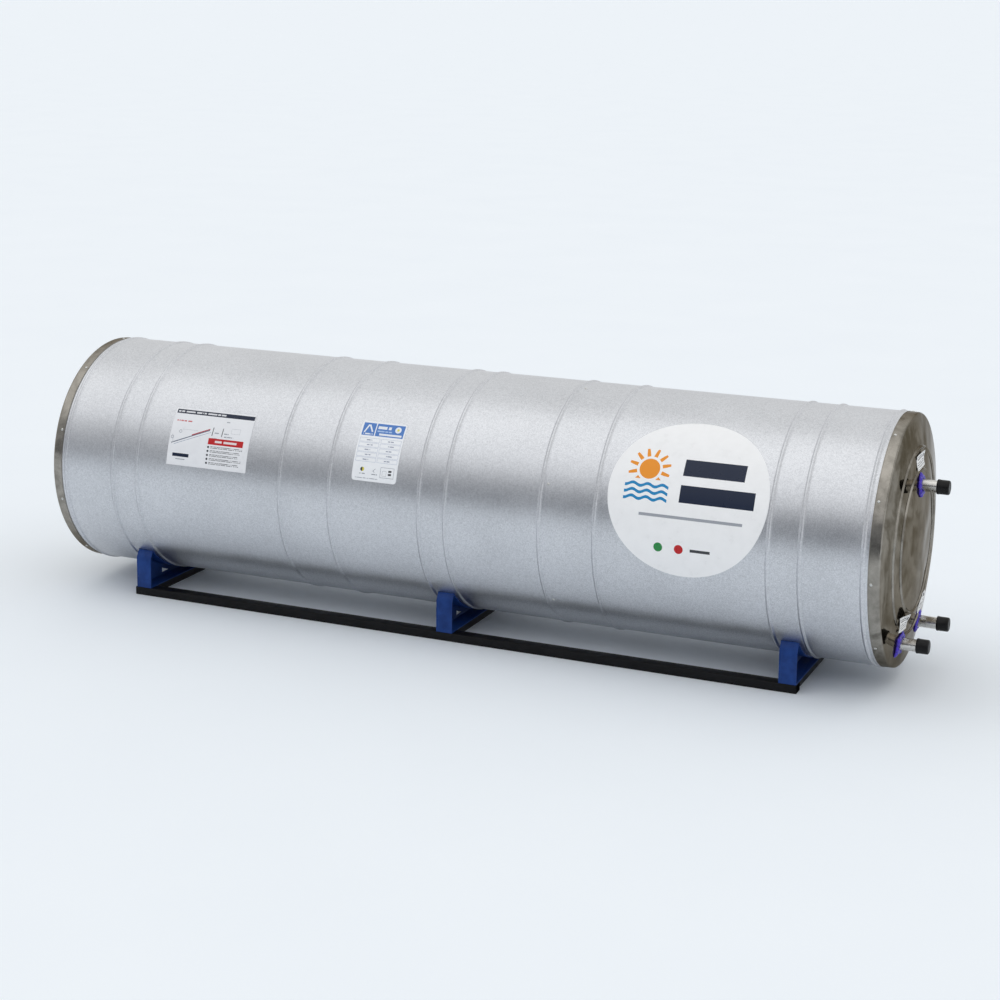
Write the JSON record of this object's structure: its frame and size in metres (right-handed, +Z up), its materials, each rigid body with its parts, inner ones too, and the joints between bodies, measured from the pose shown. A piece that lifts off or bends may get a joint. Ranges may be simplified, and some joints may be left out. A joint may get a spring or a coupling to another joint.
{
  "type": "solar water heater storage tank",
  "caption": "Horizontal insulated hot-water tank of a solar water heater on a steel stand, with capped service pipes, an electric heater under a cover, an anode and labels.",
  "frame": {"origin": "on the floor under the middle of the part's box", "axes": "+X along the tank towards the end with the three service pipes, +Y to the back, away from the labels, +Z up"},
  "size_m": [2.743, 0.708, 0.7503],
  "materials": {
    "coated_sheet": "satin aluminium-zinc coated sheet",
    "mirror_steel": "mirror polished stainless steel",
    "tank_steel": "mill finish stainless steel",
    "pipe_steel": "polished stainless steel tube",
    "foam": "rigid polyurethane foam",
    "blue_paint": "semi-gloss blue enamel",
    "black_paint": "satin black paint",
    "sealant": "cured blue-violet silicone sealant",
    "black_plastic": "moulded black plastic",
    "grey_plastic": "moulded grey plastic",
    "brass": "turned brass",
    "gasket": "black sealing rubber",
    "magnesium": "cast magnesium rod",
    "badge": "satin printed vinyl sticker",
    "guide": "printed paper sticker",
    "rating": "printed paper sticker",
    "tag": "printed paper tag",
    "zinc": "zinc plated steel"
  },
  "bodies": {
    "tank": {"jacket_long_sheet": "coated_sheet", "jacket_short_sheet": "coated_sheet", "end_cap_pipes": "mirror_steel", "end_cap_heater": "mirror_steel", "tank_shell": "tank_steel", "tank_head_pipes": "tank_steel", "tank_head_heater": "tank_steel", "insulation": "foam", "hot_outlet": "pipe_steel", "cold_inlet": "pipe_steel", "collector_feed": "pipe_steel", "collector_return": "pipe_steel", "cold_inlet_bend": "pipe_steel", "collector_feed_bend": "pipe_steel", "heater_boss": "pipe_steel", "anode_boss": "pipe_steel", "thermostat_pocket": "pipe_steel", "thermostat_probe": "pipe_steel", "heating_element": "pipe_steel", "hot_outlet_seal": "sealant", "cold_inlet_seal": "sealant", "collector_feed_seal": "sealant", "collector_return_seal": "sealant", "thermostat_body": "grey_plastic", "heater_plug": "brass", "anode_plug": "brass", "heater_gasket": "gasket", "anode_gasket": "gasket", "anode_rod": "magnesium", "round_sticker": "badge", "guide_sticker": "guide", "rating_sticker": "rating", "hot_outlet_tag": "tag", "cold_inlet_tag": "tag", "collector_feed_tag": "tag", "saddle_1": "blue_paint", "saddle_2": "blue_paint", "saddle_3": "blue_paint", "front_rail": "black_paint", "rear_rail": "black_paint", "cross_member_1": "black_paint", "cross_member_2": "black_paint", "cross_member_3": "black_paint", "saddle_screw_front_1": "zinc", "saddle_screw_rear_1": "zinc", "saddle_screw_front_2": "zinc", "saddle_screw_rear_2": "zinc", "saddle_screw_front_3": "zinc", "saddle_screw_rear_3": "zinc"},
    "hot_outlet_cap_body": {"hot_outlet_cap": "black_plastic"},
    "cold_inlet_cap_body": {"cold_inlet_cap": "black_plastic"},
    "collector_feed_cap_body": {"collector_feed_cap": "black_plastic"},
    "collector_return_cap_body": {"collector_return_cap": "black_plastic"},
    "heater_cover_body": {"heater_cover": "black_plastic", "cover_screw_upper": "zinc", "cover_screw_lower": "zinc", "cable_gland": "black_plastic"},
    "thermostat_dial_body": {"thermostat_dial": "black_plastic"}
  },
  "joints": [
    {"name": "hot_outlet_cap_pull", "type": "slide", "parent": "tank", "child": "hot_outlet_cap_body", "axis": [1, 0, 0], "range_m": [0, 0.06]},
    {"name": "cold_inlet_cap_pull", "type": "slide", "parent": "tank", "child": "cold_inlet_cap_body", "axis": [1, 0, 0], "range_m": [0, 0.06]},
    {"name": "collector_feed_cap_pull", "type": "slide", "parent": "tank", "child": "collector_feed_cap_body", "axis": [1, 0, 0], "range_m": [0, 0.06]},
    {"name": "collector_return_cap_pull", "type": "slide", "parent": "tank", "child": "collector_return_cap_body", "axis": [-1, 0, 0], "range_m": [0, 0.06]},
    {"name": "heater_cover_pull", "type": "slide", "parent": "tank", "child": "heater_cover_body", "axis": [-1, 0, 0], "range_m": [0, 0.11]},
    {"name": "thermostat_dial_turn", "type": "hinge", "parent": "tank", "child": "thermostat_dial_body", "pos_m": [-1.35615, 0, 0.2463], "axis": [-1, 0, 0], "range_deg": [0, 270]}
  ]
}
